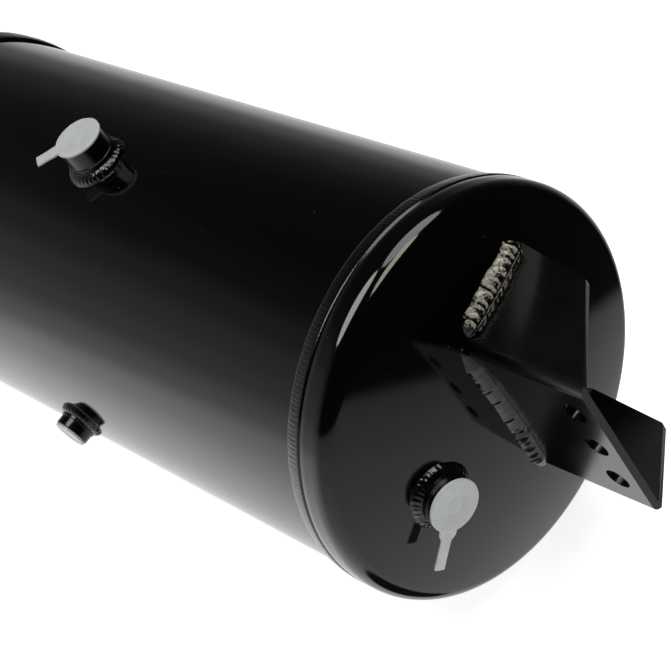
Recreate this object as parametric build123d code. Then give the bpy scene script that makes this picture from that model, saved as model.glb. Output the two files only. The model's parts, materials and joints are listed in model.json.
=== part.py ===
"""Welded steel air reservoir with lapped domed heads, end brackets and plugged ports.

Millimetres. The origin is the centre of the front bracket's middle bolt hole, which lies on the
tank's own axis. +X runs along the tank and out through the front head, +Z runs out through the
large port in the shell, and -Y through the small port. Stations along the tank are measured from
the middle of the shell, where the two shell ports stand, and then moved to the origin.
"""
from build123d import *
from math import asin, cos, degrees, radians, sin, sqrt, tan
import os

os.makedirs("parts", exist_ok=True)

# Shell and heads
SHELL_RADIUS = 120.65        # outside
SHELL_WALL = 3.0
WELD_TOE_HALF = 236.5        # middle of the shell to the toe of a girth weld
LAP_SHOW = 9.0               # weld toe to the edge of the head's skirt
LAP_LENGTH = 12.7            # straight skirt of a head
LAP_INSIDE = 11.0            # length of shell inside the skirt
HEAD_WALL = 3.0
KNUCKLE_RADIUS = 12.0        # outside
CROWN_RADIUS = 400.0         # outside
GIRTH_WELD_WIDTH = 12.3
SEAM_WIDTH = 6.0
SEAM_HEIGHT = 0.9
SEAM_ANGLE = -45.0           # about X, from +Y towards +Z

# Gaps between separate solids
FIT_UP_GAP = 0.15            # pieces put together and then welded
HAIRLINE = 0.05              # weld metal to the pieces that it joins
PLUG_CLEARANCE = 0.08        # plug stem in its bore, radial

# End brackets: one bent plate, a web through the tank's axis and a splayed flange on each side
PLATE = 4.8
BEND_INSIDE = 2.4
WEB_WIDTH = 116.4            # over the outside corners of both folds
FLANGE_SPLAY = 4.8           # degrees, away from square to the web
HOLE_REACH = 62.5            # crown of the head to the line of bolt holes
END_MARGIN = 15.5            # bolt holes to the outer end of the web
HOLE_PITCH = 31.75
HOLE_COUNT = 3
HOLE_RADIUS = 7.5
END_SLANT = 33.2             # degrees, outer end of a flange
CORNER_RADIUS = 3.0
UPPER_FLANGE = 64.5          # how far a flange stands from the web's middle, at the crown
LOWER_FLANGE = 53.0
UPPER_TAPER = 9.4            # degrees, free edge of a flange towards the web
LOWER_TAPER = 4.8

# Welds of the brackets
FLANGE_BEAD = 12.0           # leg along the head
FLANGE_BEAD_RISE = 6.5       # leg up the plate
WEB_BEAD = 7.0
WEB_BEAD_RISE = 5.5
WEB_BEAD_MARGIN = 1.5        # outside corner of a fold to the end of the web's bead
BEAD_SINK = 1.0              # depth of a bead's profile under the crown, cut off by the crown
BEAD_CREST = 0.12            # how full a bead is, as a share of its leg
GIRTH_CREST = 1.4            # height of a girth weld over the straight line between its edges

# Ports: a stepped bung on the wall, with a spigot through it; bungs, collars and bores by radius
SPIGOT_DEPTH = 2.0           # past the inside of the wall
BUNG_SINK = 3.0              # depth of a bung's blank under the wall's crown, cut off by the wall
RIM_CHAMFER = 0.6
LARGE_BUNG = 15.0
LARGE_COLLAR = 15.9
LARGE_COLLAR_HEIGHT = 8.0    # over the wall
LARGE_SPIGOT = 13.0
LARGE_BORE = 9.9
SHELL_PORT_HEIGHT = 20.4
HEAD_PORT_HEIGHT = 11.6
HEAD_PORT_OFFSET = 63.5      # from the tank's axis, towards -Y
SMALL_BUNG = 11.6
SMALL_COLLAR = 12.4
SMALL_COLLAR_HEIGHT = 5.0
SMALL_SPIGOT = 9.5
SMALL_BORE = 6.6
SMALL_PORT_HEIGHT = 11.2
THREAD_PITCH = 1.81
THREAD_DEPTH = 0.9
LARGE_PORT_BEAD = 4.4        # leg of the weld round a large bung
SMALL_PORT_BEAD = 3.4
PORT_BEAD_FULL = 0.42        # middle of a port's bead from its corner, as a share of its leg
PORT_BEAD_TOE = 0.2          # how far under the port's own seat a bead's toe starts

# Plastic plugs
PLUG_FLANGE = 1.6            # thickness
LARGE_PLUG = 16.5            # radius of the flange
SMALL_PLUG = 11.0
PLUG_WALL = 1.2
PLUG_EDGE = 0.5
STEM_CHAMFER = 0.8
LARGE_STEM = 12.0
SMALL_STEM = 8.0
TAB_THICK = 1.2
SHELL_TAB_REACH = 30.0       # plug's centre to the end of the tab
SHELL_TAB_WIDTH = 9.0
SHELL_TAB_ANGLE = 236.5      # about the port's axis
HEAD_TAB_REACH = 40.5
HEAD_TAB_WIDTH = 7.4
HEAD_TAB_ANGLE = 223.5

# What follows from them
HEAD_RADIUS = SHELL_RADIUS + FIT_UP_GAP + HEAD_WALL
SKIRT_EDGE = WELD_TOE_HALF + LAP_SHOW
KNUCKLE_STATION = SKIRT_EDGE + LAP_LENGTH
KNUCKLE_CENTRE = HEAD_RADIUS - KNUCKLE_RADIUS
CROWN_CENTRE = KNUCKLE_STATION - sqrt((CROWN_RADIUS - KNUCKLE_RADIUS) ** 2 - KNUCKLE_CENTRE ** 2)
CROWN_STATION = CROWN_CENTRE + CROWN_RADIUS
MIDDLE = -(CROWN_STATION + HOLE_REACH)      # X of the middle of the shell
WEB_END = CROWN_STATION + HOLE_REACH + END_MARGIN
FRONT = Pos(MIDDLE, 0, 0)
REAR = Pos(MIDDLE, 0, 0) * Rot(0, 0, 180)
FOLD = WEB_WIDTH / 2
SPLAY = radians(FLANGE_SPLAY)
FLANGES = {"upper": (1, UPPER_FLANGE, UPPER_TAPER), "lower": (-1, LOWER_FLANGE, LOWER_TAPER)}
BASE = (Align.CENTER, Align.CENTER, Align.MIN)


def turned(profile):
    """A solid of revolution about X from a face drawn with station along X and radius along Y."""
    return revolve(profile, Axis.X)


def ball(radius):
    """The sphere that a head's crown is part of, about the middle of the shell."""
    return Pos(CROWN_CENTRE, 0, 0) * Sphere(radius)


def head():
    """A domed cap: straight skirt, knuckle and crown, with an even wall."""
    lean = asin(KNUCKLE_CENTRE / (CROWN_RADIUS - KNUCKLE_RADIUS))
    lean_mid = (radians(90) - lean) / 2

    def skin(inset):
        crown = CROWN_RADIUS - inset
        knuckle = KNUCKLE_RADIUS - inset
        start = (SKIRT_EDGE, HEAD_RADIUS - inset)
        turn = (KNUCKLE_STATION, HEAD_RADIUS - inset)
        mid = (KNUCKLE_STATION + knuckle * sin(lean_mid), KNUCKLE_CENTRE + knuckle * cos(lean_mid))
        meet = (CROWN_CENTRE + crown * cos(lean), crown * sin(lean))
        half = (CROWN_CENTRE + crown * cos(lean / 2), crown * sin(lean / 2))
        top = (CROWN_CENTRE + crown, 0)
        return start, turn, mid, meet, half, top

    outer = skin(0)
    inner = skin(HEAD_WALL)
    edges = []
    for start, turn, mid, meet, half, top in (outer, inner):
        edges += [Line(start, turn), ThreePointArc(turn, mid, meet), ThreePointArc(meet, half, top)]
    edges += [Line(outer[0], inner[0]), Line(outer[-1], inner[-1])]
    return turned(make_face(edges))


def girth_weld():
    """Weld metal in the step between the shell and the edge of a head."""
    low = SHELL_RADIUS + HAIRLINE
    high = HEAD_RADIUS + HAIRLINE
    edge = SKIRT_EDGE - HAIRLINE
    end = WELD_TOE_HALF + GIRTH_WELD_WIDTH
    toe = (WELD_TOE_HALF, low)
    crest = ((WELD_TOE_HALF + end) / 2, (low + high) / 2 + GIRTH_CREST)
    top = (end, high)
    inside = (edge, high)
    foot = (edge, low)
    sides = [Line(top, inside), Line(inside, foot), Line(foot, toe)]
    return turned(make_face([ThreePointArc(toe, crest, top)] + sides))


def shell_tube():
    length = 2 * (SKIRT_EDGE + LAP_INSIDE)
    tube = Cylinder(SHELL_RADIUS, length) - Cylinder(SHELL_RADIUS - SHELL_WALL, length)
    return Rot(0, 90, 0) * tube


def seam_weld():
    length = 2 * (WELD_TOE_HALF - HAIRLINE)
    skin = Cylinder(SHELL_RADIUS + SEAM_HEIGHT, length) - Cylinder(SHELL_RADIUS + HAIRLINE, length)
    strip = Pos(SHELL_RADIUS, 0, 0) * Box(4 * SEAM_HEIGHT, SEAM_WIDTH, length)
    return Rot(SEAM_ANGLE, 0, 0) * (Rot(0, 90, 0) * (Rot(0, 0, 90) * (skin & strip)))


def flange_outline(side, reach, taper):
    """The plan of one flange, seen along Z, as a tall prism on its side of the web."""
    slope = tan(radians(taper))
    slant = tan(radians(END_SLANT))
    base = PLATE / 2
    # the free edge meets the slanted end where both lines give the same distance from the web
    out = (reach - slope * (WEB_END - CROWN_STATION)) / (1 - slope * slant)
    inner = CROWN_CENTRE + sqrt(CROWN_RADIUS ** 2 - HEAD_RADIUS ** 2)
    points = [
        (inner, -base),
        (WEB_END, -base),
        (WEB_END, base),
        (WEB_END - slant * (out - base), out),
        (inner, reach + slope * (CROWN_STATION - inner)),
    ]
    plan = make_face(Polyline(*points, close=True))
    corner = plan.vertices().sort_by_distance((*points[3], 0))[0]
    plan = fillet(corner, CORNER_RADIUS)
    return extrude(plan, side * HEAD_RADIUS)


def bracket():
    """The bent plate, shaped to the crown of the head, with a line of bolt holes in its web."""
    face = PLATE / 2
    # the inside corner of a fold, which the plate's thickness gives
    inner_fold = FOLD - PLATE * (1 - sin(SPLAY)) / cos(SPLAY)
    outside, inside, folds = [], [], []
    for side, reach, _ in FLANGES.values():
        past = 2 * reach
        for y, z, line in ((-face, FOLD, outside), (face, inner_fold, inside)):
            tip = (y + past * cos(SPLAY), side * (z + past * sin(SPLAY)))
            line.append([tip, (y, side * z)])
        folds += [(-face, side * FOLD, BEND_INSIDE + PLATE), (face, side * inner_fold, BEND_INSIDE)]
    loop = outside[0] + outside[1][::-1] + inside[1] + inside[0][::-1]
    section = make_face(Polyline(*loop, close=True))
    for y, z, radius in folds:
        section = fillet(section.vertices().sort_by_distance((y, z, 0))[0], radius)
    channel = extrude(Plane.YZ * section, WEB_END)
    upper, lower = [flange_outline(*sizes) for sizes in FLANGES.values()]
    plate = (channel & (upper + lower)) - ball(CROWN_RADIUS + FIT_UP_GAP)
    holes = Sketch() + [Pos(0, z) * Circle(HOLE_RADIUS) for z in hole_places()]
    drill = extrude(Plane.XZ * (Pos(CROWN_STATION + HOLE_REACH, 0) * holes), PLATE, both=True)
    return plate - drill


def hole_places():
    return [(i - (HOLE_COUNT - 1) / 2) * HOLE_PITCH for i in range(HOLE_COUNT)]


def bead_on_crown(point, along, out, start, end, leg, rise):
    """Fillet weld on the crown, along a flat plate face that runs the tank's way.

    point lies on the plate's face, along is the way that the bead runs and out is the face's
    normal. The face cuts the crown's sphere in a circle, so the bead is turned about its centre.
    """
    centre = Vector(CROWN_CENTRE, 0, 0)
    along, out = Vector(*along), Vector(*out)
    away = (Vector(*point) - centre).dot(out) + HAIRLINE
    ring_centre = centre + out * away
    seat = CROWN_RADIUS + HAIRLINE
    ring = sqrt(seat ** 2 - away ** 2)
    toe = sqrt(seat ** 2 - (away + leg) ** 2)
    middle = ring_centre.dot(along)
    first = degrees(asin((start - middle) / ring))
    last = degrees(asin((end - middle) / ring))
    crest = ((ring + rise + toe) / 2 + BEAD_CREST * leg, leg / 2 + BEAD_CREST * rise / 2)
    corner, foot = (ring + rise, 0), (toe, leg)
    under_foot, under_corner = (toe - BEAD_SINK, leg), (ring - BEAD_SINK, 0)
    edges = [ThreePointArc(corner, crest, foot), Line(foot, under_foot)]
    edges += [Line(under_foot, under_corner), Line(under_corner, corner)]
    plane = Plane(origin=ring_centre, x_dir=(1, 0, 0), z_dir=Vector(1, 0, 0).cross(out))
    turn = 1 if out.cross(Vector(1, 0, 0)).dot(along) > 0 else -1
    profile = (plane * make_face(edges)).rotate(Axis(ring_centre, out), turn * first)
    bead = revolve(profile, Axis(ring_centre, out * turn), last - first)
    return bead - ball(seat)


def bracket_welds():
    """The three beads of a bracket: outside the upper flange, along the web, outside the lower one."""
    face = PLATE / 2
    half = FOLD - WEB_BEAD_MARGIN
    web = bead_on_crown((0, -face, 0), (0, 0, 1), (0, -1, 0), -half, half, WEB_BEAD, WEB_BEAD_RISE)
    beads = {"web": web}
    for name, (side, reach, _) in FLANGES.items():
        along = (0, cos(SPLAY), side * sin(SPLAY))
        out = (0, -sin(SPLAY), side * cos(SPLAY))
        corner = (0, -face, side * FOLD)
        start = Vector(*corner).dot(Vector(*along))
        end = start + (reach + face) / cos(SPLAY)
        first = start + BEND_INSIDE + PLATE
        beads[name] = bead_on_crown(corner, along, out, first, end, FLANGE_BEAD, FLANGE_BEAD_RISE)
    return beads


def port_seat(kind, grow):
    """The solid under a port, in the port's own frame: the shell's round or the head's crown."""
    if kind == "shell":
        return Pos(0, 0, -SHELL_RADIUS) * Rot(0, 90, 0) * Cylinder(SHELL_RADIUS + grow, 6 * LARGE_PLUG)
    return Pos(0, 0, -CROWN_RADIUS) * Sphere(CROWN_RADIUS + grow)


def post(radius, low, high):
    """A round post along Z between two heights."""
    return Pos(0, 0, low) * Cylinder(radius, high - low, align=BASE)


def bung(kind, radius, collar, collar_height, spigot, bore, height, wall):
    """A stepped, threaded bung that sits on the wall and reaches through it."""
    deep = wall + SPIGOT_DEPTH
    body = post(radius, -BUNG_SINK, height)
    body = chamfer(body.edges().sort_by(Axis.Z)[-1], RIM_CHAMFER)
    body += post(collar, -BUNG_SINK, collar_height)
    body -= port_seat(kind, FIT_UP_GAP)
    body += post(spigot, -deep, wall / 2)
    body -= post(bore, -deep, height)
    groove = make_face(Polyline(
        (bore - THREAD_DEPTH / 4, -THREAD_PITCH / 2),
        (bore + THREAD_DEPTH, 0),
        (bore - THREAD_DEPTH / 4, THREAD_PITCH / 2),
        close=True,
    ))
    count = int((height + deep) / THREAD_PITCH) - 2
    for i in range(count):
        place = height - (i + 1.5) * THREAD_PITCH
        body -= Pos(0, 0, place) * revolve(Plane.XZ * groove, Axis.Z)
    return body


def port_weld(kind, collar, leg):
    """The fillet weld round a bung."""
    inner = collar + HAIRLINE
    outer = inner + leg
    full = PORT_BEAD_FULL * leg
    low = Line((inner, -BUNG_SINK), (outer, -BUNG_SINK))
    rise = ThreePointArc((outer, -PORT_BEAD_TOE), (inner + full, full), (inner, leg))
    face = make_face([low, Line(low @ 1, rise @ 0), rise, Line(rise @ 1, low @ 0)])
    return revolve(Plane.XZ * face, Axis.Z) - port_seat(kind, HAIRLINE)


def plug(radius, bore, stem, height, tab=None):
    """A push-in plug: a thin flange on the bung's end and a hollow stem in its bore."""
    outer = bore - PLUG_CLEARANCE
    disc = post(radius, height, height + PLUG_FLANGE)
    body = fillet(disc.edges().sort_by(Axis.Z)[-1], PLUG_EDGE) + post(outer, height - stem, height)
    body = chamfer(body.edges().sort_by(Axis.Z)[0], STEM_CHAMFER)
    body -= post(outer - PLUG_WALL, height - stem, height)
    if tab:
        reach, width, angle = tab
        root = radius / 2
        align = (Align.MIN, Align.CENTER, Align.MIN)
        strap = Pos(root, 0, height) * Box(reach - root, width, TAB_THICK, align=align)
        body += Rot(0, 0, angle) * strap
    return body


def place_of_port(kind):
    """Location of a port's frame: its origin on the wall's outside, its Z outwards."""
    if kind == "shell":
        return Location(Plane(origin=(MIDDLE, 0, SHELL_RADIUS), x_dir=(1, 0, 0), z_dir=(0, 0, 1)))
    if kind == "small":
        return Location(Plane(origin=(MIDDLE, -SHELL_RADIUS, 0), x_dir=(1, 0, 0), z_dir=(0, -1, 0)))
    lean = asin(HEAD_PORT_OFFSET / CROWN_RADIUS)
    spot = (MIDDLE + CROWN_CENTRE + CROWN_RADIUS * cos(lean), -HEAD_PORT_OFFSET, 0)
    out = (cos(lean), -sin(lean), 0)
    return Location(Plane(origin=spot, x_dir=(sin(lean), cos(lean), 0), z_dir=out))


def port_hole(kind, spigot, wall):
    """What is drilled out of a wall for a bung's spigot."""
    return place_of_port(kind) * Cylinder(spigot + FIT_UP_GAP, 6 * wall)


def build():
    nodes = {}
    shell = FRONT * shell_tube()
    shell -= port_hole("shell", LARGE_SPIGOT, SHELL_WALL)
    shell -= port_hole("small", SMALL_SPIGOT, SHELL_WALL)
    nodes["shell"] = shell
    nodes["shell_seam_weld"] = FRONT * seam_weld()
    nodes["front_head"] = FRONT * head() - port_hole("head", LARGE_SPIGOT, HEAD_WALL)
    nodes["rear_head"] = REAR * head()
    beads = bracket_welds()
    mirrored = Plane(origin=(MIDDLE, 0, 0), z_dir=(1, 0, 0))
    nodes["front_girth_weld"] = FRONT * girth_weld()
    nodes["front_bracket"] = FRONT * bracket()
    for name, bead in beads.items():
        nodes[f"front_bracket_{name}_weld"] = FRONT * bead
    for name in ["girth_weld", "bracket"] + [f"bracket_{b}_weld" for b in beads]:
        nodes["rear_" + name] = mirror(nodes["front_" + name], about=mirrored)

    large = (LARGE_BUNG, LARGE_COLLAR, LARGE_COLLAR_HEIGHT, LARGE_SPIGOT, LARGE_BORE)
    small = (SMALL_BUNG, SMALL_COLLAR, SMALL_COLLAR_HEIGHT, SMALL_SPIGOT, SMALL_BORE)
    shell_tab = (SHELL_TAB_REACH, SHELL_TAB_WIDTH, SHELL_TAB_ANGLE)
    head_tab = (HEAD_TAB_REACH, HEAD_TAB_WIDTH, HEAD_TAB_ANGLE)
    ports = {
        "shell_port": ("shell", "shell", large, SHELL_PORT_HEIGHT, SHELL_WALL, LARGE_PORT_BEAD,
                       (LARGE_PLUG, LARGE_STEM, shell_tab)),
        "small_port": ("small", "shell", small, SMALL_PORT_HEIGHT, SHELL_WALL, SMALL_PORT_BEAD,
                       (SMALL_PLUG, SMALL_STEM, None)),
        "head_port": ("head", "head", large, HEAD_PORT_HEIGHT, HEAD_WALL, LARGE_PORT_BEAD,
                      (LARGE_PLUG, LARGE_STEM, head_tab)),
    }
    for name, (where, seat, sizes, height, wall, leg, cap) in ports.items():
        place = place_of_port(where)
        collar, bore = sizes[1], sizes[4]
        radius, stem, tab = cap
        nodes[name + "_bung"] = place * bung(seat, *sizes, height, wall)
        nodes[name + "_weld"] = place * port_weld(seat, collar, leg)
        nodes[name + "_plug"] = place * plug(radius, bore, stem, height, tab)
    return nodes


if __name__ == "__main__":
    for name, solid in build().items():
        export_step(solid, f"parts/{name}.step")
        print(name, round(solid.volume, 1))
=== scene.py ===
"""Looks of a welded steel air reservoir: gloss black enamel, weld beads and pale plastic port plugs.

Laid out as an add-on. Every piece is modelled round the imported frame, in metres, and stands for
the CAD node of the same place. +X runs out through the front head and +Z through the large port.
"""
import json
from collections import namedtuple
from math import asin, cos, degrees, pi, radians, sin, sqrt

import bpy
from bpy.props import FloatProperty, FloatVectorProperty, IntProperty, PointerProperty
from mathutils import Matrix, Vector, noise


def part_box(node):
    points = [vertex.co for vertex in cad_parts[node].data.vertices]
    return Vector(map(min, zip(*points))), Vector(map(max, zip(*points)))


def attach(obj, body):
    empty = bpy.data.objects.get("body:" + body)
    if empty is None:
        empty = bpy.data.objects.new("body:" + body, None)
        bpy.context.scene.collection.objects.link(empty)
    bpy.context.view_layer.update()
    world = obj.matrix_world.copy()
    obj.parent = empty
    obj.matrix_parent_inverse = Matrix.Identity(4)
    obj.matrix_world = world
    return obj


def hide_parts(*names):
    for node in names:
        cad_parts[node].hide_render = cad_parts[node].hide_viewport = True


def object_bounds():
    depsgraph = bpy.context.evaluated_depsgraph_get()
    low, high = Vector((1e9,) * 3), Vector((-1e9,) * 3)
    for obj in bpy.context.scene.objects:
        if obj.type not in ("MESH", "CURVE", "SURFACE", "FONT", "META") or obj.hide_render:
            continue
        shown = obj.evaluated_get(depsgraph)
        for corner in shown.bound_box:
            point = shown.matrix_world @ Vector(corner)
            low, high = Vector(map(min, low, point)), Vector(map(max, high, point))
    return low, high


bl_info = {
    "name": "Air Reservoir",
    "version": (1, 0, 0),
    "blender": (4, 5, 0),
    "location": "3D View > Sidebar > Reservoir",
    "description": "Builds the visible pieces of a welded steel air reservoir round its CAD frame",
    "category": "Object",
}

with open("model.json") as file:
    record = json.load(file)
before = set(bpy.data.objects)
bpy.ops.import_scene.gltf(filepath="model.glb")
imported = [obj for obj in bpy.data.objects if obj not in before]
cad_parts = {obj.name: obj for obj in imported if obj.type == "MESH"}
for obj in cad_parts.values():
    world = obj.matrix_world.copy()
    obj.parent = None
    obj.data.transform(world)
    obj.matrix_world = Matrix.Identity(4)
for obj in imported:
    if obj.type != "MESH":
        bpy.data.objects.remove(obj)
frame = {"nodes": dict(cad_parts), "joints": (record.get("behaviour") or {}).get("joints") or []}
CAD_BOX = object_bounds()

MM = 0.001
ALONG = Vector((1, 0, 0))
ENDS = ("front", "rear")
ORIGIN = Vector((0, 0, 0))
# how near two points count as one: in turned pieces, and in grids and copied plates
MERGE = 1e-7
MERGE_GRID = 2e-6
# attribute on a woven bead: 1 on the tops of its ripples, 0 between them; its enamel paints a highlight
# there
RIPPLE_HIGHLIGHT = "ripple_painted_highlight"


# ---------------------------------------------------------------- sizes and colours

class TankSettings(bpy.types.PropertyGroup):
    """Sizes of the shell and heads that the frame's boxes don't give."""
    wall: FloatProperty(
        name="Wall", description="Thickness of the shell and heads", default=3 * MM, unit="LENGTH")
    crown: FloatProperty(
        name="Crown radius", description="Outside radius of a head's crown", default=400 * MM, unit="LENGTH")
    knuckle: FloatProperty(
        name="Knuckle radius", description="Outside radius of a head's knuckle", default=12 * MM,
        unit="LENGTH")
    skirt: FloatProperty(
        name="Skirt", description="Straight length of a head over the shell", default=12.7 * MM,
        unit="LENGTH")
    groove: FloatProperty(
        name="Groove", description="Depth of the groove between a girth weld and the skirt",
        default=0.75 * MM, unit="LENGTH")
    steps: IntProperty(name="Steps", description="Facets round the tank", default=256)


class BracketSettings(bpy.types.PropertyGroup):
    """Sizes of the bent bracket plates and their beads."""
    plate: FloatProperty(
        name="Plate", description="Plate thickness", default=4.8 * MM, unit="LENGTH")
    width: FloatProperty(
        name="Web width", description="Width over both folds", default=116.4 * MM, unit="LENGTH")
    splay: FloatProperty(
        name="Splay", description="Lean of each flange away from the web's square", default=radians(4.8),
        unit="ROTATION")
    edge: FloatProperty(
        name="Edge", description="Roundness that paint gives a cut edge", default=0.75 * MM, unit="LENGTH")
    flange_leg: FloatProperty(
        name="Flange bead", description="Leg of a flange's bead along the head", default=12 * MM,
        unit="LENGTH")
    flange_rise: FloatProperty(
        name="Flange bead rise", description="Leg of a flange's bead up the plate", default=6.3 * MM,
        unit="LENGTH")
    web_leg: FloatProperty(
        name="Web bead", description="Leg of the web's bead along the head", default=7 * MM, unit="LENGTH")
    web_rise: FloatProperty(
        name="Web bead rise", description="Leg of the web's bead up the plate", default=5.5 * MM,
        unit="LENGTH")


class PortSettings(bpy.types.PropertyGroup):
    """Sizes of the bungs and plugs."""
    bead: FloatProperty(
        name="Port bead", description="Leg of the weld round a bung", default=4.4 * MM, unit="LENGTH")
    pitch: FloatProperty(
        name="Thread pitch", description="Pitch of the bung threads", default=1.81 * MM, unit="LENGTH")
    plug_rim: FloatProperty(
        name="Plug flange", description="Thickness of a plug's flange", default=1.6 * MM, unit="LENGTH")
    tab_thick: FloatProperty(
        name="Tab", description="Thickness of a pull tab", default=1.2 * MM, unit="LENGTH")


class FinishSettings(bpy.types.PropertyGroup):
    """Colours of the finishes."""
    paint: FloatVectorProperty(
        name="Enamel", description="Gloss black enamel", subtype="COLOR", size=4,
        default=(0.0008, 0.0008, 0.0009, 1))
    # painted highlight: pale colour laid on the tops of the weld ripples, standing in for the soft boxes'
    # reflections
    painted_highlight: FloatVectorProperty(
        name="Worn film", description="Film on the tops of weld ripples", subtype="COLOR", size=4,
        default=(0.25, 0.24, 0.215, 1))
    # painted sheen: warm and cool patches in the base colour stand in for the mottled reflections on the
    # plates and bungs
    painted_sheen_brown: FloatVectorProperty(
        name="Plate brown", description="Warm patches in the film on the plates", subtype="COLOR", size=4,
        default=(0.002, 0.0017, 0.0012, 1))
    painted_sheen_blue: FloatVectorProperty(
        name="Plate blue", description="Cool patches in the film on the plates", subtype="COLOR", size=4,
        default=(0.0008, 0.0011, 0.0018, 1))
    dust: FloatVectorProperty(
        name="Dust", description="Fine dust caught in the enamel", subtype="COLOR", size=4,
        default=(0.2, 0.19, 0.17, 1))
    plastic: FloatVectorProperty(
        name="Plug plastic", description="Natural polyethylene", subtype="COLOR", size=4,
        default=(0.435, 0.46, 0.475, 1))
    floor: FloatVectorProperty(
        name="Floor", description="Studio floor", subtype="COLOR", size=4, default=(0.9, 0.9, 0.9, 1))


class StudioSettings(bpy.types.PropertyGroup):
    """Camera and light."""
    azimuth: FloatProperty(
        name="Azimuth", description="Camera's way round", default=radians(69.012), unit="ROTATION")
    elevation: FloatProperty(
        name="Elevation", description="Camera's height", default=radians(41.998), unit="ROTATION")
    roll: FloatProperty(
        name="Roll", description="Camera's tilt about its own line", default=radians(-37.977),
        unit="ROTATION")
    offset: FloatVectorProperty(
        name="Camera place", description="From the middle of the front weld toe", subtype="XYZ", size=3,
        default=(0.66928, -0.29389, 0.73917))
    lens: FloatProperty(name="Lens", description="Focal length on a 36 mm frame", default=97.04)
    soft_boxes: FloatProperty(
        name="Soft boxes", description="Brightness of the soft boxes against white paper", default=8.0)
    room: FloatProperty(name="Room", description="Brightness of the room in reflections", default=1.7)


# ---------------------------------------------------------------- modelling helpers

def select_only(obj):
    bpy.ops.object.select_all(action="DESELECT")
    obj.select_set(True)
    bpy.context.view_layer.objects.active = obj


def clean(obj, gap=MERGE):
    """Merges doubled points and turns every face outwards."""
    select_only(obj)
    bpy.ops.object.mode_set(mode="EDIT")
    bpy.ops.mesh.select_all(action="SELECT")
    bpy.ops.mesh.remove_doubles(threshold=gap)
    bpy.ops.mesh.normals_make_consistent(inside=False)
    bpy.ops.object.mode_set(mode="OBJECT")


def arc(centre, radius, first, last, count):
    """Points along an arc in an outline's plane, angles in degrees from its first axis."""
    turns = [radians(first + (last - first) * i / count) for i in range(count + 1)]
    return [(centre[0] + radius * cos(t), centre[1] + radius * sin(t)) for t in turns]


def start_point(name):
    """A new mesh of one point at the origin, open in edit mode."""
    bpy.ops.object.select_all(action="DESELECT")
    bpy.ops.mesh.primitive_plane_add(size=MM, location=ORIGIN)
    obj = bpy.context.object
    obj.name = name
    bpy.ops.object.mode_set(mode="EDIT")
    bpy.ops.mesh.select_all(action="SELECT")
    bpy.ops.mesh.merge(type="CENTER")
    return obj


def lathe(name, outline, steps, centre=ORIGIN, axis=ALONG, sharp=35.0):
    """Spins a closed outline of (along the axis, from the axis) points into a turned piece."""
    axis = Vector(axis).normalized()
    radial = axis.orthogonal().normalized()
    places = [centre + axis * a + radial * r for a, r in outline]
    obj = start_point(name)
    bpy.ops.transform.translate(value=places[0])
    here = places[0]
    for place in places[1:] + places[:1]:
        bpy.ops.mesh.extrude_vertices_move(TRANSFORM_OT_translate={"value": place - here})
        here = place
    bpy.ops.mesh.select_all(action="SELECT")
    bpy.ops.mesh.remove_doubles(threshold=MERGE)
    bpy.ops.mesh.spin(steps=steps, angle=2 * pi, center=centre, axis=axis, use_auto_merge=True)
    bpy.ops.object.mode_set(mode="OBJECT")
    clean(obj)
    smooth(obj, sharp)
    return obj


def smooth(obj, sharp=35.0):
    select_only(obj)
    bpy.ops.object.shade_smooth_by_angle(angle=radians(sharp))


def formed_grid(name, across, around, place, sharp=60.0, crest=None):
    """A grid whose points are moved by place(u, v), with its seams and ends merged shut.

    crest(u, v), where given, is kept on the mesh as the attribute that its enamel reads to place a painted
    highlight.
    """
    bpy.ops.object.select_all(action="DESELECT")
    bpy.ops.mesh.primitive_grid_add(x_subdivisions=across, y_subdivisions=around, size=2, location=ORIGIN)
    obj = bpy.context.object
    obj.name = name
    spots = [((vertex.co.x + 1) / 2, (vertex.co.y + 1) / 2) for vertex in obj.data.vertices]
    if crest:
        marks = obj.data.attributes.new(RIPPLE_HIGHLIGHT, "FLOAT", "POINT")
        for mark, (u, v) in zip(marks.data, spots):
            mark.value = crest(u, v)
    for vertex, (u, v) in zip(obj.data.vertices, spots):
        vertex.co = place(u, v)
    clean(obj, MERGE_GRID)
    smooth(obj, sharp)
    return obj


def apply_modifier(obj, kind, **settings):
    select_only(obj)
    modifier = obj.modifiers.new(kind.title(), kind)
    for key, value in settings.items():
        setattr(modifier, key, value)
    bpy.ops.object.modifier_apply(modifier=modifier.name)


def cut(obj, cutter, operation="DIFFERENCE"):
    """Applies a boolean and removes the second piece."""
    apply_modifier(obj, "BOOLEAN", object=cutter, operation=operation, solver="EXACT")
    bpy.data.objects.remove(cutter)


def finish_piece(obj, node, body, material):
    """Gives a piece its finish, its CAD node and the body that it rides on."""
    obj.data.materials.clear()
    obj.data.materials.append(material)
    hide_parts(node)
    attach(obj, body)


def joint_axis(body):
    """The way that a plug comes out: its slide's axis."""
    for joint in frame["joints"]:
        if joint["child"] == body:
            return Vector(joint["axis"]).normalized()
    raise RuntimeError(f"no slide moves {body}")


# ---------------------------------------------------------------- ports and their plugs, in mm

Bung = namedtuple("Bung", "radius collar collar_height spigot bore height inside")
Tab = namedtuple("Tab", "reach width degrees flare")
Plug = namedtuple("Plug", "body radius stem depth tab")

BUNGS = {
    "shell_port": Bung(15.0, 15.9, 8.0, 13.0, 9.9, 20.4, 5.0),
    "small_port": Bung(11.6, 12.4, 5.0, 9.5, 6.6, 11.2, 5.0),
    "head_port": Bung(15.0, 15.9, 8.0, 13.0, 9.9, 11.6, 5.0),
}
PLUGS = {
    "shell_port": Plug("shell_plug", 15.8, 9.82, 12.0, Tab(30.0, 8.4, 236.5, 1.08)),
    "small_port": Plug("small_plug", 11.0, 6.52, 8.0, None),
    "head_port": Plug("head_plug", 16.3, 9.82, 12.0, Tab(40.5, 6.5, 223.5, 1.75)),
}
SPIGOT_GAP = 0.1


# ---------------------------------------------------------------- where the CAD says things are

def tank_sizes():
    return bpy.context.scene.reservoir_tank


def middle():
    low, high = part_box("shell")
    return (low.x + high.x) / 2


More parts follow.
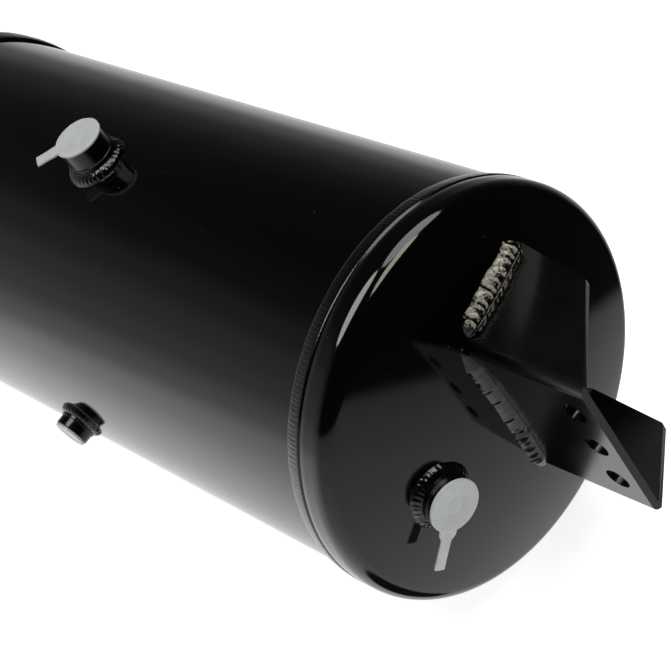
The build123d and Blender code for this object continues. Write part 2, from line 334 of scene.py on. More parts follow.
def crown_centre(end):
    """Centre of the sphere that a head's crown is part of."""
    crown = tank_sizes().crown
    low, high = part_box(end + "_head")
    x = high.x - crown if end == "front" else low.x + crown
    return Vector((x, 0, 0))


def outward(end):
    return ALONG if end == "front" else -ALONG


# ---------------------------------------------------------------- materials

def node_tree(name):
    material = bpy.data.materials.new(name)
    material.use_nodes = True
    nodes = material.node_tree.nodes
    return material, nodes, material.node_tree.links, nodes["Principled BSDF"]


def add_noise(nodes, links, coords, scale, detail=2.0, rough=0.5, distortion=0.0):
    made = nodes.new("ShaderNodeTexNoise")
    made.inputs["Scale"].default_value = scale
    made.inputs["Detail"].default_value = detail
    made.inputs["Roughness"].default_value = rough
    made.inputs["Distortion"].default_value = distortion
    links.new(coords, made.inputs["Vector"])
    return made.outputs["Fac"]


def add_bump(nodes, links, height, distance, strength=1.0, normal=None):
    made = nodes.new("ShaderNodeBump")
    made.inputs["Strength"].default_value = strength
    made.inputs["Distance"].default_value = distance
    links.new(height, made.inputs["Height"])
    if normal:
        links.new(normal, made.inputs["Normal"])
    return made.outputs["Normal"]


def add_range(nodes, links, value, low, high, to_low, to_high):
    made = nodes.new("ShaderNodeMapRange")
    for name, number in (("From Min", low), ("From Max", high), ("To Min", to_low), ("To Max", to_high)):
        made.inputs[name].default_value = number
    links.new(value, made.inputs["Value"])
    return made.outputs["Result"]


def feed(links, value, socket):
    """Links one socket to another, or sets it to a plain number or colour."""
    if isinstance(value, bpy.types.NodeSocket):
        links.new(value, socket)
    else:
        socket.default_value = value


def add_mix(nodes, links, factor, first, second, blend="MIX"):
    made = nodes.new("ShaderNodeMix")
    made.data_type = "RGBA"
    made.blend_type = blend
    for name, value in (("Factor", factor), ("A", first), ("B", second)):
        feed(links, value, made.inputs[name])
    return made.outputs["Result"]


def add_maths(nodes, links, operation, first, second):
    made = nodes.new("ShaderNodeMath")
    made.operation = operation
    links.new(first, made.inputs[0])
    links.new(second, made.inputs[1])
    return made.outputs["Value"]


def enamel(name, peel, grain, gloss=(0.055, 0.12)):
    """Gloss black enamel: faint orange peel, slow waves in the film and a little caught dust.

    peel is the scale of the orange peel, grain its strength and gloss the range of roughness.
    """
    finish = bpy.context.scene.reservoir_finish
    material, nodes, links, shader = node_tree(name)
    coords = nodes.new("ShaderNodeTexCoord").outputs["Object"]
    shader.inputs["IOR"].default_value = 1.5
    haze = add_noise(nodes, links, coords, 14, 4)
    links.new(add_range(nodes, links, haze, 0.35, 0.7, *gloss), shader.inputs["Roughness"])
    specks = nodes.new("ShaderNodeTexVoronoi")
    specks.inputs["Scale"].default_value = 150
    links.new(coords, specks.inputs["Vector"])
    dots = add_range(nodes, links, specks.outputs["Distance"], 0.03, 0.06, 1, 0)
    thin = add_range(nodes, links, add_noise(nodes, links, coords, 60, 2), 0.58, 0.66, 0, 0.5)
    dusty = add_maths(nodes, links, "MULTIPLY", dots, thin)
    colour = add_mix(nodes, links, dusty, finish.paint, finish.dust)
    links.new(colour, shader.inputs["Base Color"])
    waves = add_bump(nodes, links, add_noise(nodes, links, coords, 28, 1), 0.12 * MM)
    skin = add_bump(nodes, links, add_noise(nodes, links, coords, peel, 2), 0.012 * MM, grain, waves)
    links.new(skin, shader.inputs["Normal"])
    return material


def plug_plastic(name):
    """Natural polyethylene: milky, soft in the light, finely mottled and a little scuffed."""
    finish = bpy.context.scene.reservoir_finish
    material, nodes, links, shader = node_tree(name)
    coords = nodes.new("ShaderNodeTexCoord").outputs["Object"]
    shader.inputs["Subsurface Weight"].default_value = 0.35
    shader.inputs["Subsurface Scale"].default_value = 4 * MM
    shader.inputs["Subsurface Radius"].default_value = (0.6, 0.65, 0.7)
    shader.inputs["IOR"].default_value = 1.51
    mottle = add_range(nodes, links, add_noise(nodes, links, coords, 220, 5, 0.6), 0.35, 0.65, 0, 1)
    deeper = [part * 0.9 for part in finish.plastic[:3]] + [1]
    links.new(add_mix(nodes, links, mottle, deeper, finish.plastic), shader.inputs["Base Color"])
    scuffs = add_noise(nodes, links, coords, 900, 3, 0.6, 0.8)
    links.new(add_range(nodes, links, scuffs, 0.3, 0.7, 0.3, 0.5), shader.inputs["Roughness"])
    links.new(add_bump(nodes, links, scuffs, 0.03 * MM, 0.5), shader.inputs["Normal"])
    return material


def shared(name, maker, *details):
    """The material of that name, made on first use."""
    return bpy.data.materials.get(name) or maker(name, *details)


def plate_painted_sheen(name):
    """The enamel over hot-rolled plate, with warm and cool patches of painted sheen in its colour."""
    finish = bpy.context.scene.reservoir_finish
    material = enamel(name, 300, 1.4, (0.15, 0.24))
    nodes = material.node_tree.nodes
    links = material.node_tree.links
    shader = nodes["Principled BSDF"]
    shader.inputs["Specular IOR Level"].default_value = 0.4
    coords = nodes.new("ShaderNodeTexCoord").outputs["Object"]
    # painted sheen: mottled warm and cool colour standing in for reflections
    cloud = add_range(nodes, links, add_noise(nodes, links, coords, 26, 4, 0.55, 0.6), 0.42, 0.58, 0, 1)
    patches = add_mix(nodes, links, cloud, finish.painted_sheen_brown, finish.painted_sheen_blue)
    fine = add_range(nodes, links, add_noise(nodes, links, coords, 90, 5, 0.65), 0.3, 0.7, 0.35, 1.5)
    mottled = add_mix(nodes, links, 1, patches, fine, "MULTIPLY")
    links.new(mottled, shader.inputs["Base Color"])
    return material


def weave_painted_highlight(name):
    """The enamel over a woven bead, with a painted highlight: pale colour on the tops of the ripples, broken
    up by noise.
    """
    finish = bpy.context.scene.reservoir_finish
    material = enamel(name, 1300, 3.0, (0.16, 0.26))
    nodes = material.node_tree.nodes
    links = material.node_tree.links
    coords = nodes.new("ShaderNodeTexCoord").outputs["Object"]
    # painted highlight: the pale colour goes where the crest attribute, broken up by noise, is high
    crest = nodes.new("ShaderNodeAttribute")
    crest.attribute_name = RIPPLE_HIGHLIGHT
    chips = add_noise(nodes, links, coords, 420, 4, 0.65)
    broken = add_range(nodes, links, chips, 0.3, 0.7, -0.75, 0.45)
    edge = add_maths(nodes, links, "ADD", crest.outputs["Fac"], broken)
    painted_highlight = add_range(nodes, links, edge, 0.38, 0.75, 0, 1)
    colour = add_mix(nodes, links, painted_highlight, finish.paint, finish.painted_highlight)
    links.new(colour, nodes["Principled BSDF"].inputs["Base Color"])
    return material


def smooth_enamel():
    return shared("enamel_smooth", enamel, 420, 0.6)


def plate_enamel():
    return shared("enamel_plate", plate_painted_sheen)


def weld_enamel():
    return shared("enamel_over_weld", enamel, 900, 2.5, (0.12, 0.2))


def weave_enamel():
    return shared("enamel_over_weave", weave_painted_highlight)


def plastic():
    return shared("plug_polyethylene", plug_plastic)


# ---------------------------------------------------------------- shell and heads

class RESERVOIR_OT_shell(bpy.types.Operator):
    """Roll the shell, drill its ports and lay its long seam"""
    bl_idname = "reservoir.shell"
    bl_label = "Shell"

    def execute(self, context):
        tank = tank_sizes()
        low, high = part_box("shell")
        radius = high.z
        rows = 24
        outer = [(low.x + (high.x - low.x) * i / rows, radius) for i in range(rows + 1)]
        inner = [(x, radius - tank.wall) for x, _ in reversed(outer)]
        shell = lathe("shell_rolled", outer + inner, tank.steps)
        for port in ("shell_port", "small_port"):
            drill_port(shell, port)
        smooth(shell)
        finish_piece(shell, "shell", "tank", smooth_enamel())
        self.seam(radius)
        return {"FINISHED"}

    def seam(self, radius):
        low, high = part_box("shell_seam_weld")
        seam_middle = (low + high) / 2
        turn = Vector((seam_middle.y, seam_middle.z)).angle_signed(Vector((1, 0)))
        half_width = 3 * MM
        height = 0.8 * MM
        ripple_height = 0.06 * MM
        pitch = 2.2 * MM
        sunk = -0.3 * MM
        visible = 0.75

        def place(u, v):
            x = low.x + (high.x - low.x) * u
            taper = min(1, 60 * min(u, 1 - u))
            if v < visible:
                across = v / visible * 2 - 1
                ripple = ripple_height * sin(2 * pi * (x / pitch - 0.6 * across ** 2))
                lift = (height * (1 - across ** 2) + ripple * (1 - across ** 4)) * taper
            else:
                across = 1 - (v - visible) / (1 - visible) * 2
                lift = sunk
            angle = turn + across * half_width * taper / radius
            return Vector((x, (radius + lift) * cos(angle), (radius + lift) * sin(angle)))

        seam = formed_grid("shell_seam_bead", 900, 12, place)
        finish_piece(seam, "shell_seam_weld", "tank", weld_enamel())


def drill_port(wall, port):
    """Cuts the hole of a bung's spigot through a wall."""
    low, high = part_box(port + "_bung")
    radius = (BUNGS[port].spigot + SPIGOT_GAP) * MM
    reach = 30 * MM
    outline = [(-reach, 0), (-reach, radius), (reach, radius), (reach, 0)]
    cut(wall, lathe("port_cutter", outline, 96, (low + high) / 2, joint_axis(PLUGS[port].body)))


class RESERVOIR_OT_heads(bpy.types.Operator):
    """Press the two lapped heads and drill the port in the front one"""
    bl_idname = "reservoir.heads"
    bl_label = "Heads"

    def execute(self, context):
        tank = tank_sizes()
        for end in ENDS:
            low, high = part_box(end + "_head")
            edge = low.x if end == "front" else high.x
            outline = self.outline(tank, high.z, high.x - low.x)
            head = lathe(end + "_head_dome", outline, tank.steps, Vector((edge, 0, 0)), outward(end))
            if end == "front":
                drill_port(head, "head_port")
                smooth(head)
            finish_piece(head, end + "_head", "tank", smooth_enamel())
        return {"FINISHED"}

    def outline(self, tank, radius, height):
        """Closed section of a head: lip, skirt, knuckle and crown outside, then back inside."""
        knuckle_centre = (tank.skirt, radius - tank.knuckle)
        crown = (height - tank.crown, 0.0)
        lean = degrees(asin(knuckle_centre[1] / (tank.crown - tank.knuckle)))
        lip = 0.5 * MM
        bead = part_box("front_girth_weld")[1].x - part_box("front_head")[0].x
        sides = []
        for inset in (0, tank.wall):
            side = arc(knuckle_centre, tank.knuckle - inset, 90, lean, 16)
            side += arc(crown, tank.crown - inset, lean, 0, 36)[1:]
            sides.append(side)
        outer, inner = sides
        melted = radius - tank.groove
        shoulder = 0.12 * MM
        skirt = [(bead + tank.groove * 0.15, melted), (bead + tank.groove * 0.9, radius - shoulder),
                 (bead + tank.groove * 1.3, radius), ((bead + tank.skirt) / 2, radius)]
        start = arc((lip, melted - lip), lip, 180, 90, 4) + skirt
        foot = [(0, radius - tank.wall)]
        return start + outer + inner[::-1] + foot


# rise of a girth bead, as (share of its width, share of its height), and where its rows lie
GIRTH_RISE = ((0, 0), (0.03, 0.22), (0.06, 0.42), (0.1, 0.56), (0.18, 0.66), (0.35, 0.78), (0.6, 0.92),
              (0.83, 1))
GIRTH_ROWS = (0, 0.015, 0.03, 0.045, 0.06, 0.08, 0.12, 0.18, 0.26, 0.35, 0.45, 0.55, 0.65, 0.74, 0.8, 0.84,
              0.88, 0.92, 0.96, 1)


class RESERVOIR_OT_girth_welds(bpy.types.Operator):
    """Lay the rippled beads between the shell and the heads"""
    bl_idname = "reservoir.girth_welds"
    bl_label = "Girth welds"

    def execute(self, context):
        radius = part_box("shell")[1].z
        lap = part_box("front_head")[1].z
        for end in ENDS:
            low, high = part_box(end + "_girth_weld")
            head_low, head_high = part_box(end + "_head")
            toe, top, edge = (low.x, high.x, head_low.x) if end == "front" else (high.x, low.x, head_high.x)
            bead = self.bead(end, toe, top, edge, radius, lap)
            finish_piece(bead, end + "_girth_weld", "tank", weld_enamel())
        return {"FINISHED"}

    def bead(self, end, toe, top, edge, radius, lap):
        """Toe wall, slow rise, crest beside the skirt, then a steep fall to a groove on it."""
        ripple_height = 0.05 * MM
        rough_height = 0.1 * MM
        slow_height = 0.06 * MM
        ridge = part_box(end + "_girth_weld")[1].z - 0.12 * MM
        groove = lap - tank_sizes().groove
        profile = [(t, radius + (ridge - radius) * share) for t, share in GIRTH_RISE]
        profile += [(0.88, ridge - 0.05 * MM), (1, groove)]
        pitch = 2.6 * MM
        ripples = round(2 * pi * radius / pitch)
        visible = len(GIRTH_ROWS) - 1
        hidden = ((edge, groove - 0.3 * MM), (edge, groove - 0.6 * MM), (edge, radius - 0.4 * MM))
        total = visible + len(hidden) + 1

        def level(t):
            for (t0, r0), (t1, r1) in zip(profile, profile[1:]):
                if t <= t1:
                    return r0 + (r1 - r0) * (t - t0) / (t1 - t0)
            return groove

        def place(u, v):
            turn = 2 * pi * u
            round_way = Vector((0, cos(turn), sin(turn)))
            wobble = noise.noise(round_way * 14 + Vector((3.1, 0, 0)))
            slow = noise.noise(round_way * 2.3 + Vector((9.7, 0, 0)))
            start = toe + (top - toe) * 0.03 * (1 + wobble)
            row = round(v * total)
            if row <= visible:
                t = GIRTH_ROWS[row]
                x = start + (top - start) * t
                body = sin(pi * min(1, max(0, (t - 0.04) / 0.92)))
                rough = noise.noise(Vector((x * 420, 0, 0)) + round_way * radius * 420)
                phase = ripples * turn + 3.4 * (2 * t - 1) ** 2 + 2.6 * wobble
                ripple = ripple_height * sin(phase) + rough_height * rough + slow_height * slow
                reach = min(level(t) + ripple * body, ridge + 0.1 * MM)
            else:
                x, reach = (hidden + ((start, radius),))[row - visible - 1]
            return Vector((x, 0, 0)) + round_way * reach

        return formed_grid(end + "_girth_bead", 1800, total, place)


# ---------------------------------------------------------------- brackets

class RESERVOIR_OT_brackets(bpy.types.Operator):
    """Give the bent bracket plates their paint-softened edges"""
    bl_idname = "reservoir.brackets"
    bl_label = "Brackets"

    def execute(self, context):
        edge = context.scene.reservoir_bracket.edge
        for end in ENDS:
            source = frame["nodes"][end + "_bracket"]
            plate = bpy.data.objects.new(end + "_bracket_plate", source.data.copy())
            context.scene.collection.objects.link(plate)
            clean(plate, MERGE_GRID)
            bpy.ops.object.mode_set(mode="EDIT")
            bpy.ops.mesh.select_all(action="SELECT")
            bpy.ops.mesh.dissolve_limited(angle_limit=radians(1.0))
            bpy.ops.object.mode_set(mode="OBJECT")
            apply_modifier(plate, "BEVEL", width=edge, segments=3, limit_method="ANGLE",
                           angle_limit=radians(40))
            smooth(plate, 30)
            apply_modifier(plate, "WEIGHTED_NORMAL", keep_sharp=True)
            finish_piece(plate, end + "_bracket", "tank", plate_enamel())
        return {"FINISHED"}


Ripples = namedtuple("Ripples", "pitch height wobble")
WEB_RIPPLES = Ripples(5.4 * MM, 0.07 * MM, 2.5)
FLANGE_RIPPLES = Ripples(5.0 * MM, 0.55 * MM, 1.0)


class RESERVOIR_OT_bracket_welds(bpy.types.Operator):
    """Lay the beads that hold the brackets to the heads"""
    bl_idname = "reservoir.bracket_welds"
    bl_label = "Bracket welds"

    def execute(self, context):
        sizes = context.scene.reservoir_bracket
        half = sizes.width / 2
        face = sizes.plate / 2
        for end in ENDS:
            low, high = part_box(end + "_bracket_web_weld")
            self.bead(end, "web", Vector((0, 0, 1)), Vector((0, -1, 0)), face, (low.z, high.z))
            lean = sizes.splay
            for name, side in (("upper", 1), ("lower", -1)):
                along = Vector((0, cos(lean), side * sin(lean)))
                out = Vector((0, -sin(lean), side * cos(lean)))
                corner = Vector((0, -face, side * half))
                low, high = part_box(f"{end}_bracket_{name}_weld")
                span = [corner.dot(along) + (y + face) / cos(lean) for y in (low.y, high.y)]
                self.bead(end, name, along, out, corner.dot(out), span)
        return {"FINISHED"}

    def bead(self, end, name, along, out, away, span):
        """A fillet on the crown, against a plate face that lies away from the tank's axis."""
        sizes = bpy.context.scene.reservoir_bracket
        woven = name != "web"
        ripples = FLANGE_RIPPLES if woven else WEB_RIPPLES
        leg = sizes.flange_leg if woven else sizes.web_leg
        rise = sizes.flange_rise if woven else sizes.web_rise
        swell = 0.22 if woven else 0.11
        crown = tank_sizes().crown
        centre = crown_centre(end)
        way = outward(end)
        first, last = span
        rows = 34
        visible = 30 / rows
        restart_at = first + (last - first) * 0.36
        restart_width = 3 * MM
        seed = Vector((3.7 if end == "front" else 8.2, len(name) * 1.9, away * 40))

        def on_crown(s, side):
            level = sqrt(crown ** 2 - (away + side) ** 2 - s ** 2)
            return centre + out * (away + side) + along * s + way * level

        def noises(s):
            return noise.noise(seed + Vector((s * 60, 0, 0))), noise.noise(seed + Vector((s * 210, 5, 0)))

        def weave(s, t):
            """Height of the ripple, 0 to 1: crescents laid one on the next along the bead."""
            slow, quick = noises(s)
            chevron = (2 * abs(t - 0.6)) ** 1.7
            patch = noise.noise(seed + Vector((s * 300, t * 4, 7)))
            phase = s / ripples.pitch + chevron + ripples.wobble * (0.3 * quick + 0.15 * patch) + 0.5 * slow
            return (phase % 1) ** 1.4

        # mask of the painted highlight: the ripple tops on the steep toe-side face, and more on a shelf near
        # the plate
        def crest(u, v):
            if v >= visible:
                return 0.0
            t = v / visible
            face = max(0, min(1, (t - 0.33) / 0.05, (0.97 - t) / 0.05))
            shelf = 1.3 * max(0, 1 - abs(t - 0.14) / 0.13)
            ripple = min(1.0, weave(first + (last - first) * u, t) * 1.5)
            return ripple * (face + shelf) * min(1, 12 * min(u, 1 - u))

        def place(u, v):
            s = first + (last - first) * u
            ends = min(1, 9 * min(u, 1 - u)) ** 0.5
            slow, quick = noises(s)
            restart = 1 if woven else 1 - 0.16 * max(0, 1 - abs(s - restart_at) / restart_width)
            fat = min(1, 0.95 + 0.08 * slow + 0.04 * quick) * ends * restart
            corner = on_crown(s, 0)
            top = corner + way * rise * fat
            toe = on_crown(s, leg * min(1, fat + 0.05 * quick * ends))
            if v >= visible:
                t = (v - visible) / (1 - visible)
                sunk = corner - way * 0.4 * MM - out * 0.2 * MM
                return toe.lerp(sunk, 2 * t) if t < 0.5 else sunk.lerp(top, 2 * t - 1)
            t = v / visible
            bulge = (way * leg + out * rise).normalized()
            if woven:
                round_over = sin(pi * t ** 0.8) - 0.55 * max(0, 1 - abs(t - 0.31) / 0.06)
                ripple = weave(s, t) - 0.55
            else:
                round_over = sin(pi * t)
                ripple = 0.5 * sin(2 * pi * s / ripples.pitch + ripples.wobble * quick + 3 * t)
            rough = 0.3 * noise.noise(seed + Vector((s * 900, t * 9, 2)))
            height = ripples.height * (ripple + rough) * sin(pi * t) ** 0.5 * ends if 0 < t < 1 else 0
            return top.lerp(toe, t) + bulge * (swell * leg * fat * round_over + height)

        count = int((last - first) / ripples.pitch * 20)
        made = formed_grid(f"{end}_bracket_{name}_bead", count, rows, place, 50, crest if woven else None)
        paint = weave_enamel() if woven else weld_enamel()
        finish_piece(made, f"{end}_bracket_{name}_weld", "tank", paint)


# ---------------------------------------------------------------- ports

def port_frame(port):
    """(a point on the wall's outside, the way out, the wall's height at a distance from the axis)."""
    axis = joint_axis(PLUGS[port].body)
    if port == "head_port":
        crown = tank_sizes().crown
        seat = crown_centre("front") + axis * crown

        def level(flat, lift):
            return sqrt(crown ** 2 - flat ** 2 - lift ** 2) - crown
    else:
        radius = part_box("shell")[1].z
        low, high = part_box(port + "_bung")
        seat = Vector(((low.x + high.x) / 2, 0, 0)) + axis * radius

        def level(flat, lift):
            return sqrt(radius ** 2 - lift ** 2) - radius
    return seat, axis, level


def port_sides(axis):
    """Two directions across a port: along the tank as near as it can be, and square to that."""
    flat = ALONG - axis * ALONG.dot(axis)
    if flat.length < 0.5:
        flat = Vector((0, 1, 0)) - axis * axis.y
    flat.normalize()
    return flat, axis.cross(flat)


class RESERVOIR_OT_ports(bpy.types.Operator):
    """Turn the threaded bungs and lay the welds round them"""
    bl_idname = "reservoir.ports"
    bl_label = "Ports"

    def execute(self, context):
        for port, sizes in BUNGS.items():
            seat, axis, level = port_frame(port)
            self.bung(context, port, seat, axis, *[size * MM for size in sizes])
            self.weld(context, port, seat, axis, level, sizes.collar * MM)
        return {"FINISHED"}

    def bung(self, context, port, seat, axis, radius, collar, collar_height, spigot, bore, height, inside):
        """A collar and a spigot round a bore, with rings for its thread."""
        pitch = context.scene.reservoir_port.pitch
        soft = 0.7 * MM
        sink = 2.5 * MM
        depth = 0.55 * pitch
        chamfer = 1.1 * MM
        outline = [(-inside, bore), (-inside, spigot), (-sink, spigot), (-sink, collar)]
        outline += arc((collar_height - soft, collar - soft), soft, 90, 0, 5)
        outline += [(collar_height + 0.15 * MM, radius + 0.1 * MM), (collar_height + 0.5 * MM, radius)]
        outline += arc((height - soft, radius - soft), soft, 90, 0, 6)
        outline += [(height, bore + chamfer), (height - chamfer, bore)]
        root, foot = 0.06 * pitch, 0.42 * pitch
        rings = int((height + inside - 3 * pitch) / pitch)
        for i in range(rings):
            top = height - 1.6 * pitch - i * pitch
            outline += [(top + foot, bore), (top + root, bore + depth), (top - root, bore + depth),
                        (top - foot, bore)]
        bung = lathe(port + "_bung_turned", outline, 128, seat, axis, 32)
        finish_piece(bung, port + "_bung", "tank", plate_enamel())

    def weld(self, context, port, seat, axis, level, collar):
        """A rippled fillet between a bung's collar and the wall, smaller on the small port."""
        leg = context.scene.reservoir_port.bead * (0.78 if port == "small_port" else 1.0)
        flat, lift = port_sides(axis)
        rows = 16
        visible = 12 / rows
        pitch = 3.0 * MM
        ripple_height = 0.14 * MM
        sink = 0.6 * MM
        ripples = round(2 * pi * (collar + leg / 2) / pitch)
        seed = Vector((collar * 900, axis.y * 3, axis.x * 5))

        def place(u, v):
            turn = 2 * pi * u
            spoke = flat * cos(turn) + lift * sin(turn)
            ring = Vector((cos(turn), sin(turn), 0))
            slow = noise.noise(seed + ring * 1.4)
            quick = noise.noise(seed + ring * 6 + Vector((0, 0, 4)))
            size = leg * (1 + 0.16 * slow + 0.06 * quick)

            def wall(distance):
                return level(distance * cos(turn), distance * sin(turn))

            toe = seat + spoke * (collar + size) + axis * wall(collar + size)
            top = seat + spoke * (collar - 0.05 * MM) + axis * (wall(collar) + size * 1.05)
            if v >= visible:
                t = (v - visible) / (1 - visible)
                sunk = seat + spoke * (collar - sink) + axis * (wall(collar) - sink)
                return toe.lerp(sunk, 2 * t) if t < 0.5 else sunk.lerp(top, 2 * t - 1)
            t = v / visible
            bulge = (axis + spoke).normalized()
            phase = ripples * turn - 2.2 * (2 * t - 1) ** 2 + 1.8 * quick
            height = (0.16 * leg + ripple_height * sin(phase)) * sin(pi * t)
            return top.lerp(toe, t) + bulge * height

        bead = formed_grid(port + "_bead", ripples * 14, rows, place, 50)
        finish_piece(bead, port + "_weld", "tank", weld_enamel())


class RESERVOIR_OT_plugs(bpy.types.Operator):
    """Mould the push-in plugs and their pull tabs"""
    bl_idname = "reservoir.plugs"
    bl_label = "Plugs"

    def execute(self, context):
        for port, plug in PLUGS.items():
            seat, axis, _ = port_frame(port)
            height = BUNGS[port].height * MM
            radius = plug.radius * MM
            made = self.cap(context, port, seat, axis, radius, plug.stem * MM, plug.depth * MM, height)
            if plug.tab:
                cut(made, self.tab(context, seat + axis * height, axis, radius, plug.tab), "UNION")
            smooth(made, 32)
            finish_piece(made, port + "_plug", plug.body, plastic())
        return {"FINISHED"}

    def cap(self, context, port, seat, axis, radius, stem, depth, height):
        """Flange with a faint raised rim and a sunk ring, over a hollow stem that narrows."""
        wall = 1.2 * MM
        top = height + context.scene.reservoir_port.plug_rim
        soft = 0.45 * MM
        under = 0.6 * soft
        dish, ring = top - 0.18 * MM, top - 0.32 * MM
        foot = height - depth
        outline = [(dish, 0), (dish, 0.28 * radius), (ring, 0.31 * radius), (ring, 0.36 * radius)]
        outline += [(top - 0.12 * MM, 0.39 * radius), (top - 0.08 * MM, 0.86 * radius), (top, 0.9 * radius)]
        outline += arc((top - soft, radius - soft), soft, 0, 90, 5)
        outline += arc((height + under, radius - under), under, 90, 180, 3)
        outline += [(height, stem), (height - 0.55 * depth, stem)]
        outline += [(height - 0.6 * depth, stem - 0.15 * MM)]
        outline += [(foot + 0.8 * MM, stem - 0.2 * MM), (foot, stem - 0.8 * MM)]
        outline += [(foot, stem - wall), (height, stem - wall), (height, 0)]
        return lathe(port + "_plug_moulded", outline, 128, seat, axis, 32)

    def tab(self, context, base, axis, radius, tab):
        """A flat strap with a wider root, to be joined to a flange."""
        thick = context.scene.reservoir_port.tab_thick
        flat, lift = port_sides(axis)
        way = flat * cos(radians(tab.degrees)) + lift * sin(radians(tab.degrees))
        side = axis.cross(way)
        first, last = radius * 0.8, tab.reach * MM
        narrow = tab.width * MM / 2
        root = narrow * tab.flare
        root_reach, root_fade = 1.5 * MM, 4.5 * MM

        def half_width(distance):
            blend = min(1, max(0, (distance - radius - root_reach) / root_fade))
            return root + (narrow - root) * (blend * blend * (3 - 2 * blend))

        def place(u, v):
            distance = first + (last - first) * u
            around = 2 * pi * (v + 0.125)
            square = max(abs(cos(around)), abs(sin(around)))
            across = max(-1, min(1, cos(around) / square))
            over = max(-1, min(1, sin(around) / square))
            closed = 0 if u in (0, 1) else 1
            half = half_width(distance) * across * closed
            lifted = thick / 2 + thick / 2 * over * closed
            return base + way * distance + side * half + axis * lifted

        return formed_grid("tab_strap", 40, 16, place, 32)


# ---------------------------------------------------------------- studio

# the tank lies on a table, turned about its own axis: which way the room's up is
TABLE_UP = Vector((0.0, 0.6137, 0.7896))
TABLE_ACROSS = ALONG.cross(TABLE_UP)
# (height from -1 to 1, brightness) of the room beside the small port, behind the large one and
# past the front head
TABLE_NEAR = ((-0.65, 0.97), (-0.5, 0.84), (-0.35, 0.47), (-0.16, 0.27), (0.04, 0.2), (0.25, 0.11),
              (0.45, 0.036), (0.65, 0.018))
TABLE_FAR = ((-0.7, 0.58), (-0.13, 0.5), (0.07, 0.41), (0.27, 0.16), (0.45, 0.068), (0.6, 0.034),
             (0.68, 0.02))
TABLE_FRONT = ((-1, 0.8), (-0.85, 0.6), (-0.7, 0.5), (-0.5, 0.4), (-0.37, 0.32), (-0.29, 0.26),
               (-0.24, 0.012), (0.1, 0.008))
# the dark patch of the tank's own shadow on the table, before its front head: its way, the cosines
# of its soft edge and its grey
SHADOW_WAY = Vector((0.17, -0.36, -0.917))
SHADOW_EDGE = (0.951, 0.966)
SHADOW_GREY = (0.02, 0.02, 0.02, 1)

# ways are from the front knuckle; share is of the soft boxes' brightness
SoftBox = namedtuple("SoftBox", "name way long_way width length tint share")
SOFT_BOXES = (
    SoftBox("soft_box_over", (-0.15, -0.13, 0.98), (-0.1, -1, 0), 0.8, 1.15, (1, 0.98, 0.93), 0.85),
    SoftBox("soft_box_back", (0.05, 0.57, 0.82), (0.05, -0.8, 0.6), 1.0, 1.15, (0.97, 0.95, 1), 0.5),
    SoftBox("soft_box_front", (0.49, 0.34, 0.8), (0.3, -0.8, 0.2), 0.5, 1.0, (1, 0.95, 0.76), 0.8),
)
BOX_REACH = 1.6


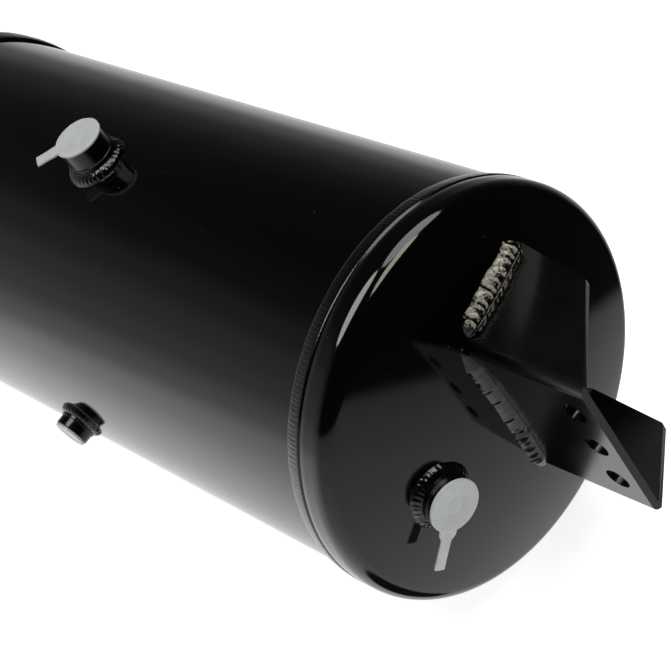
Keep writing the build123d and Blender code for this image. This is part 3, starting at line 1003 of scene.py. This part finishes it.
class RESERVOIR_OT_studio(bpy.types.Operator):
    """Set the floor, the lights, the room's reflections and the camera"""
    bl_idname = "reservoir.studio"
    bl_label = "Studio"

    def execute(self, context):
        studio = context.scene.reservoir_studio
        self.floor(context)
        self.room(context, studio)
        self.lights(studio)
        self.camera(context, studio)
        context.scene.view_settings.view_transform = "Standard"
        return {"FINISHED"}

    def floor(self, context):
        bpy.ops.object.select_all(action="DESELECT")
        bpy.ops.mesh.primitive_plane_add(size=12, location=(middle(), 0, CAD_BOX[0].z - 0.5 * MM))
        floor = context.object
        floor.name = "studio_floor"
        floor.visible_glossy = False
        floor.data.materials.append(self.white("studio_floor_white", 0.88))
        bpy.ops.object.select_all(action="DESELECT")
        bpy.ops.mesh.primitive_uv_sphere_add(
            segments=64, ring_count=32, radius=5.5, location=(middle(), 0, 0))
        backdrop = context.object
        backdrop.name = "studio_backdrop"
        for ray in ("diffuse", "glossy", "transmission", "volume_scatter", "shadow"):
            setattr(backdrop, "visible_" + ray, False)
        backdrop.data.materials.append(self.white("studio_backdrop_white", 1.0))

    def white(self, name, glow):
        material, _, _, shader = node_tree(name)
        shader.inputs["Base Color"].default_value = bpy.context.scene.reservoir_finish.floor
        shader.inputs["Roughness"].default_value = 0.9
        shader.inputs["Emission Color"].default_value = (1, 1, 1, 1)
        shader.inputs["Emission Strength"].default_value = glow
        return material

    def room(self, context, studio):
        """A dark room over a lit white table, as the glossy enamel sees it."""
        world = bpy.data.worlds.new("studio_room")
        context.scene.world = world
        world.use_nodes = True
        nodes = world.node_tree.nodes
        links = world.node_tree.links
        coords = nodes.new("ShaderNodeTexCoord").outputs["Generated"]
        height, across, along, shadow = (
            self.way_share(nodes, links, coords, way) for way in (TABLE_UP, TABLE_ACROSS, ALONG, SHADOW_WAY))
        near, far, front = (
            self.ramp(nodes, links, height, stops) for stops in (TABLE_NEAR, TABLE_FAR, TABLE_FRONT))
        sides = add_mix(nodes, links, add_range(nodes, links, across, -0.5, 0.15, 0, 1), far, near)
        whole = add_mix(nodes, links, add_range(nodes, links, along, -0.35, 0.1, 0, 1), sides, front)
        under = add_range(nodes, links, shadow, *SHADOW_EDGE, 0, 1)
        background = nodes["Background"]
        links.new(add_mix(nodes, links, under, whole, SHADOW_GREY), background.inputs["Color"])
        background.inputs["Strength"].default_value = studio.room

    def way_share(self, nodes, links, coords, way):
        """How far a direction leans towards a way: 1 along it, -1 against it."""
        made = nodes.new("ShaderNodeVectorMath")
        made.operation = "DOT_PRODUCT"
        made.inputs[1].default_value = way
        links.new(coords, made.inputs[0])
        return made.outputs["Value"]

    def ramp(self, nodes, links, height, stops):
        """Greys by height, eased from stop to stop."""
        made = nodes.new("ShaderNodeValToRGB")
        made.color_ramp.interpolation = "EASE"
        marks = made.color_ramp.elements
        while len(marks) < len(stops):
            marks.new(0.5)
        for mark, (level, grey) in zip(marks, stops):
            mark.position = (level + 1) / 2
            mark.color = (grey, grey, grey, 1)
        links.new(add_range(nodes, links, height, -1, 1, 0, 1), made.inputs["Fac"])
        return made.outputs["Color"]

    def lights(self, studio):
        """Three soft boxes over the front knuckle, each square on to it."""
        aim = Vector((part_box("front_head")[0].x, 0, CAD_BOX[1].z * 0.8))
        for box in SOFT_BOXES:
            way = Vector(box.way).normalized()
            long_way = Vector(box.long_way)
            side = (long_way - way * way.dot(long_way)).normalized()
            bpy.ops.object.select_all(action="DESELECT")
            bpy.ops.object.light_add(type="AREA", location=aim + way * BOX_REACH)
            lamp = bpy.context.object
            lamp.name = box.name
            lamp.data.shape = "ELLIPSE"
            lamp.data.size = box.width
            lamp.data.size_y = box.length
            lamp.data.color = box.tint
            area = pi / 4 * box.width * box.length
            lamp.data.energy = studio.soft_boxes * box.share * pi * area
            lamp.rotation_euler = Matrix((side.cross(way), side, way)).transposed().to_euler()

    def camera(self, context, studio):
        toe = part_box("front_girth_weld")[0].x
        place = Vector((toe, 0, 0)) + Vector(studio.offset)
        a, e = studio.azimuth, studio.elevation
        back = Vector((sin(a) * cos(e), -cos(a) * cos(e), sin(e)))
        level = Vector((cos(a), sin(a), 0))
        upright = back.cross(level)
        right = level * cos(studio.roll) + upright * sin(studio.roll)
        up = back.cross(right)
        bpy.ops.object.select_all(action="DESELECT")
        bpy.ops.object.camera_add(location=place)
        camera = context.object
        camera.name = "studio_camera"
        turn = Matrix((right, up, back)).transposed()
        camera.rotation_euler = turn.to_euler()
        camera.data.lens = studio.lens
        camera.data.sensor_width = 36
        camera.data.clip_start = 0.01
        camera.data.clip_end = 50
        context.scene.camera = camera


# ---------------------------------------------------------------- panel and registration

BUILD_ORDER = ("studio", "shell", "heads", "girth_welds", "brackets", "bracket_welds", "ports", "plugs")


class RESERVOIR_PT_panel(bpy.types.Panel):
    """Lists the steps that build the reservoir"""
    bl_idname = "RESERVOIR_PT_panel"
    bl_label = "Air Reservoir"
    bl_space_type = "VIEW_3D"
    bl_region_type = "UI"
    bl_category = "Reservoir"

    def draw(self, context):
        for step in BUILD_ORDER:
            self.layout.operator("reservoir." + step)


SETTINGS = {
    "reservoir_tank": TankSettings,
    "reservoir_bracket": BracketSettings,
    "reservoir_port": PortSettings,
    "reservoir_finish": FinishSettings,
    "reservoir_studio": StudioSettings,
}

CLASSES = (
    TankSettings, BracketSettings, PortSettings, FinishSettings, StudioSettings,
    RESERVOIR_OT_shell, RESERVOIR_OT_heads, RESERVOIR_OT_girth_welds, RESERVOIR_OT_brackets,
    RESERVOIR_OT_bracket_welds, RESERVOIR_OT_ports, RESERVOIR_OT_plugs, RESERVOIR_OT_studio,
    RESERVOIR_PT_panel,
)


def register():
    for cls in CLASSES:
        bpy.utils.register_class(cls)
    for name, group in SETTINGS.items():
        setattr(bpy.types.Scene, name, PointerProperty(type=group))


def unregister():
    for name in SETTINGS:
        delattr(bpy.types.Scene, name)
    for cls in reversed(CLASSES):
        bpy.utils.unregister_class(cls)


def main():
    register()
    for step in BUILD_ORDER:
        getattr(bpy.ops.reservoir, step)()


if __name__ == "__main__":
    main()
